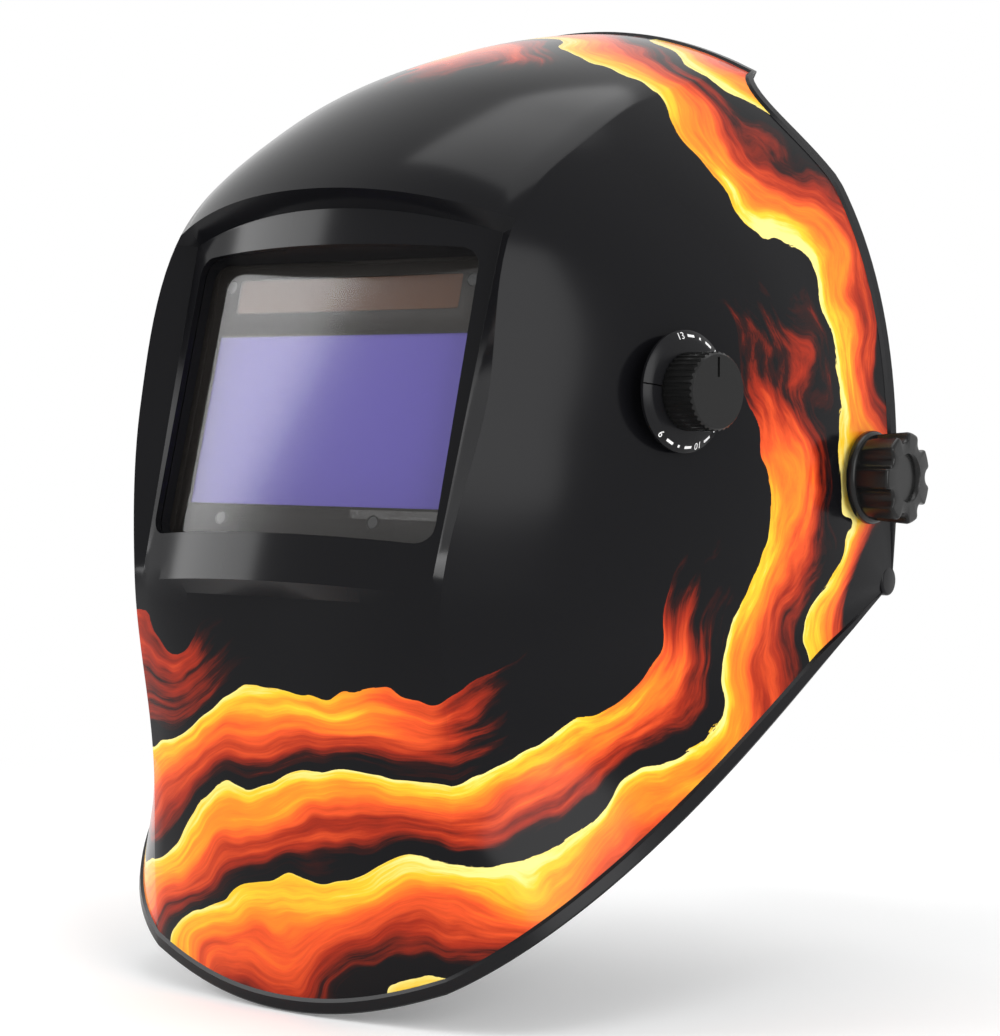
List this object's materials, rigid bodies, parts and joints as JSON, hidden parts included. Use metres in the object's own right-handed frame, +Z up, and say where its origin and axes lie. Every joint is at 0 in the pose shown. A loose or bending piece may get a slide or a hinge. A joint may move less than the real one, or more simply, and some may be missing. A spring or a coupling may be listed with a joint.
{
  "type": "welding helmet",
  "caption": "Auto-darkening welding helmet: wraparound printed shell with a recessed filter window, outside shade dial and ratchet headgear, tilting on side pivots.",
  "frame": {"origin": "middle of the tilt axis, midway between the two side pivots", "axes": "-Y is the front, +X the wearer's left, +Z up"},
  "size_m": [0.2698, 0.2897, 0.3191],
  "materials": {
    "printed_shell": "gloss black moulding with a heat-coloured film print",
    "window_black": "satin black moulding",
    "clear_plate": "clear polycarbonate",
    "cartridge_grey": "dark grey satin",
    "filter": "blue-violet interference coating",
    "solar": "brown thin-film cell",
    "sensor": "small glossy lens",
    "knob_black": "satin black",
    "steel": "zinc-plated",
    "friction": "friction washer",
    "gear_black": "flexible black nylon",
    "pad": "dark padded fabric"
  },
  "bodies": {
    "headgear": {"left_arm": "gear_black", "right_arm": "gear_black", "head_band": "gear_black", "brow_pad": "pad", "left_crown_strap": "gear_black", "right_crown_strap": "gear_black", "left_nape_strap": "gear_black", "right_nape_strap": "gear_black", "band_rivets": "steel", "ratchet_base": "gear_black", "ratchet_cover": "gear_black", "nape_pad": "pad"},
    "pivots": {"left_pivot_bolt": "steel", "right_pivot_bolt": "steel", "left_slider": "cartridge_grey", "right_slider": "cartridge_grey", "left_friction_washer": "friction", "right_friction_washer": "friction", "left_outer_washer": "steel", "right_outer_washer": "steel"},
    "visor": {"shell": "printed_shell", "window_tub": "window_black", "front_cover_plate": "clear_plate", "cartridge_frame": "cartridge_grey", "cartridge_body": "cartridge_grey", "filter_glass": "filter", "solar_strip": "solar", "arc_sensors": "sensor", "rear_cover_plate": "clear_plate", "frame_clip": "steel", "shade_dial": "knob_black", "shade_potentiometer": "cartridge_grey", "shade_nut": "steel", "left_stop_disc": "cartridge_grey", "right_stop_disc": "cartridge_grey"},
    "shade_grip": {"shade_knob": "knob_black"},
    "left_tension": {"left_tension_knob": "knob_black"},
    "right_tension": {"right_tension_knob": "knob_black"},
    "sensitivity_grip": {"sensitivity_knob": "cartridge_grey"},
    "delay_grip": {"delay_knob": "cartridge_grey"},
    "ratchet_grip": {"ratchet_knob": "knob_black", "ratchet_pinion": "cartridge_grey"}
  },
  "joints": [
    {"name": "reach_slide", "type": "slide", "parent": "headgear", "child": "pivots", "axis": [0, -1, 0], "range_m": [0, 0.012]},
    {"name": "shell_tilt", "type": "hinge", "parent": "pivots", "child": "visor", "pos_m": [0, 0, 0], "axis": [-1, 0, 0], "range_deg": [0, 80]},
    {"name": "left_tension_turn", "type": "hinge", "parent": "pivots", "child": "left_tension", "pos_m": [0.125, 0, 0], "axis": [1, 0, 0], "range_deg": [-150, 150]},
    {"name": "right_tension_turn", "type": "hinge", "parent": "pivots", "child": "right_tension", "pos_m": [-0.125, 0, 0], "axis": [-1, 0, 0], "range_deg": [-150, 150]},
    {"name": "shade_turn", "type": "hinge", "parent": "visor", "child": "shade_grip", "pos_m": [0.1006, -0.0862, 0.0278], "axis": [0.9816, -0.1908, 0], "range_deg": [-135, 135]},
    {"name": "sensitivity_turn", "type": "hinge", "parent": "visor", "child": "sensitivity_grip", "pos_m": [-0.025, -0.1148, 0.0534], "axis": [0, 0.9636, -0.2672], "range_deg": [-135, 135]},
    {"name": "delay_turn", "type": "hinge", "parent": "visor", "child": "delay_grip", "pos_m": [0.025, -0.1148, 0.0534], "axis": [0, 0.9636, -0.2672], "range_deg": [-135, 135]},
    {"name": "ratchet_turn", "type": "hinge", "parent": "headgear", "child": "ratchet_grip", "pos_m": [0, 0.0969, 0.0003], "axis": [0, 0.9563, -0.2924], "continuous": true}
  ]
}
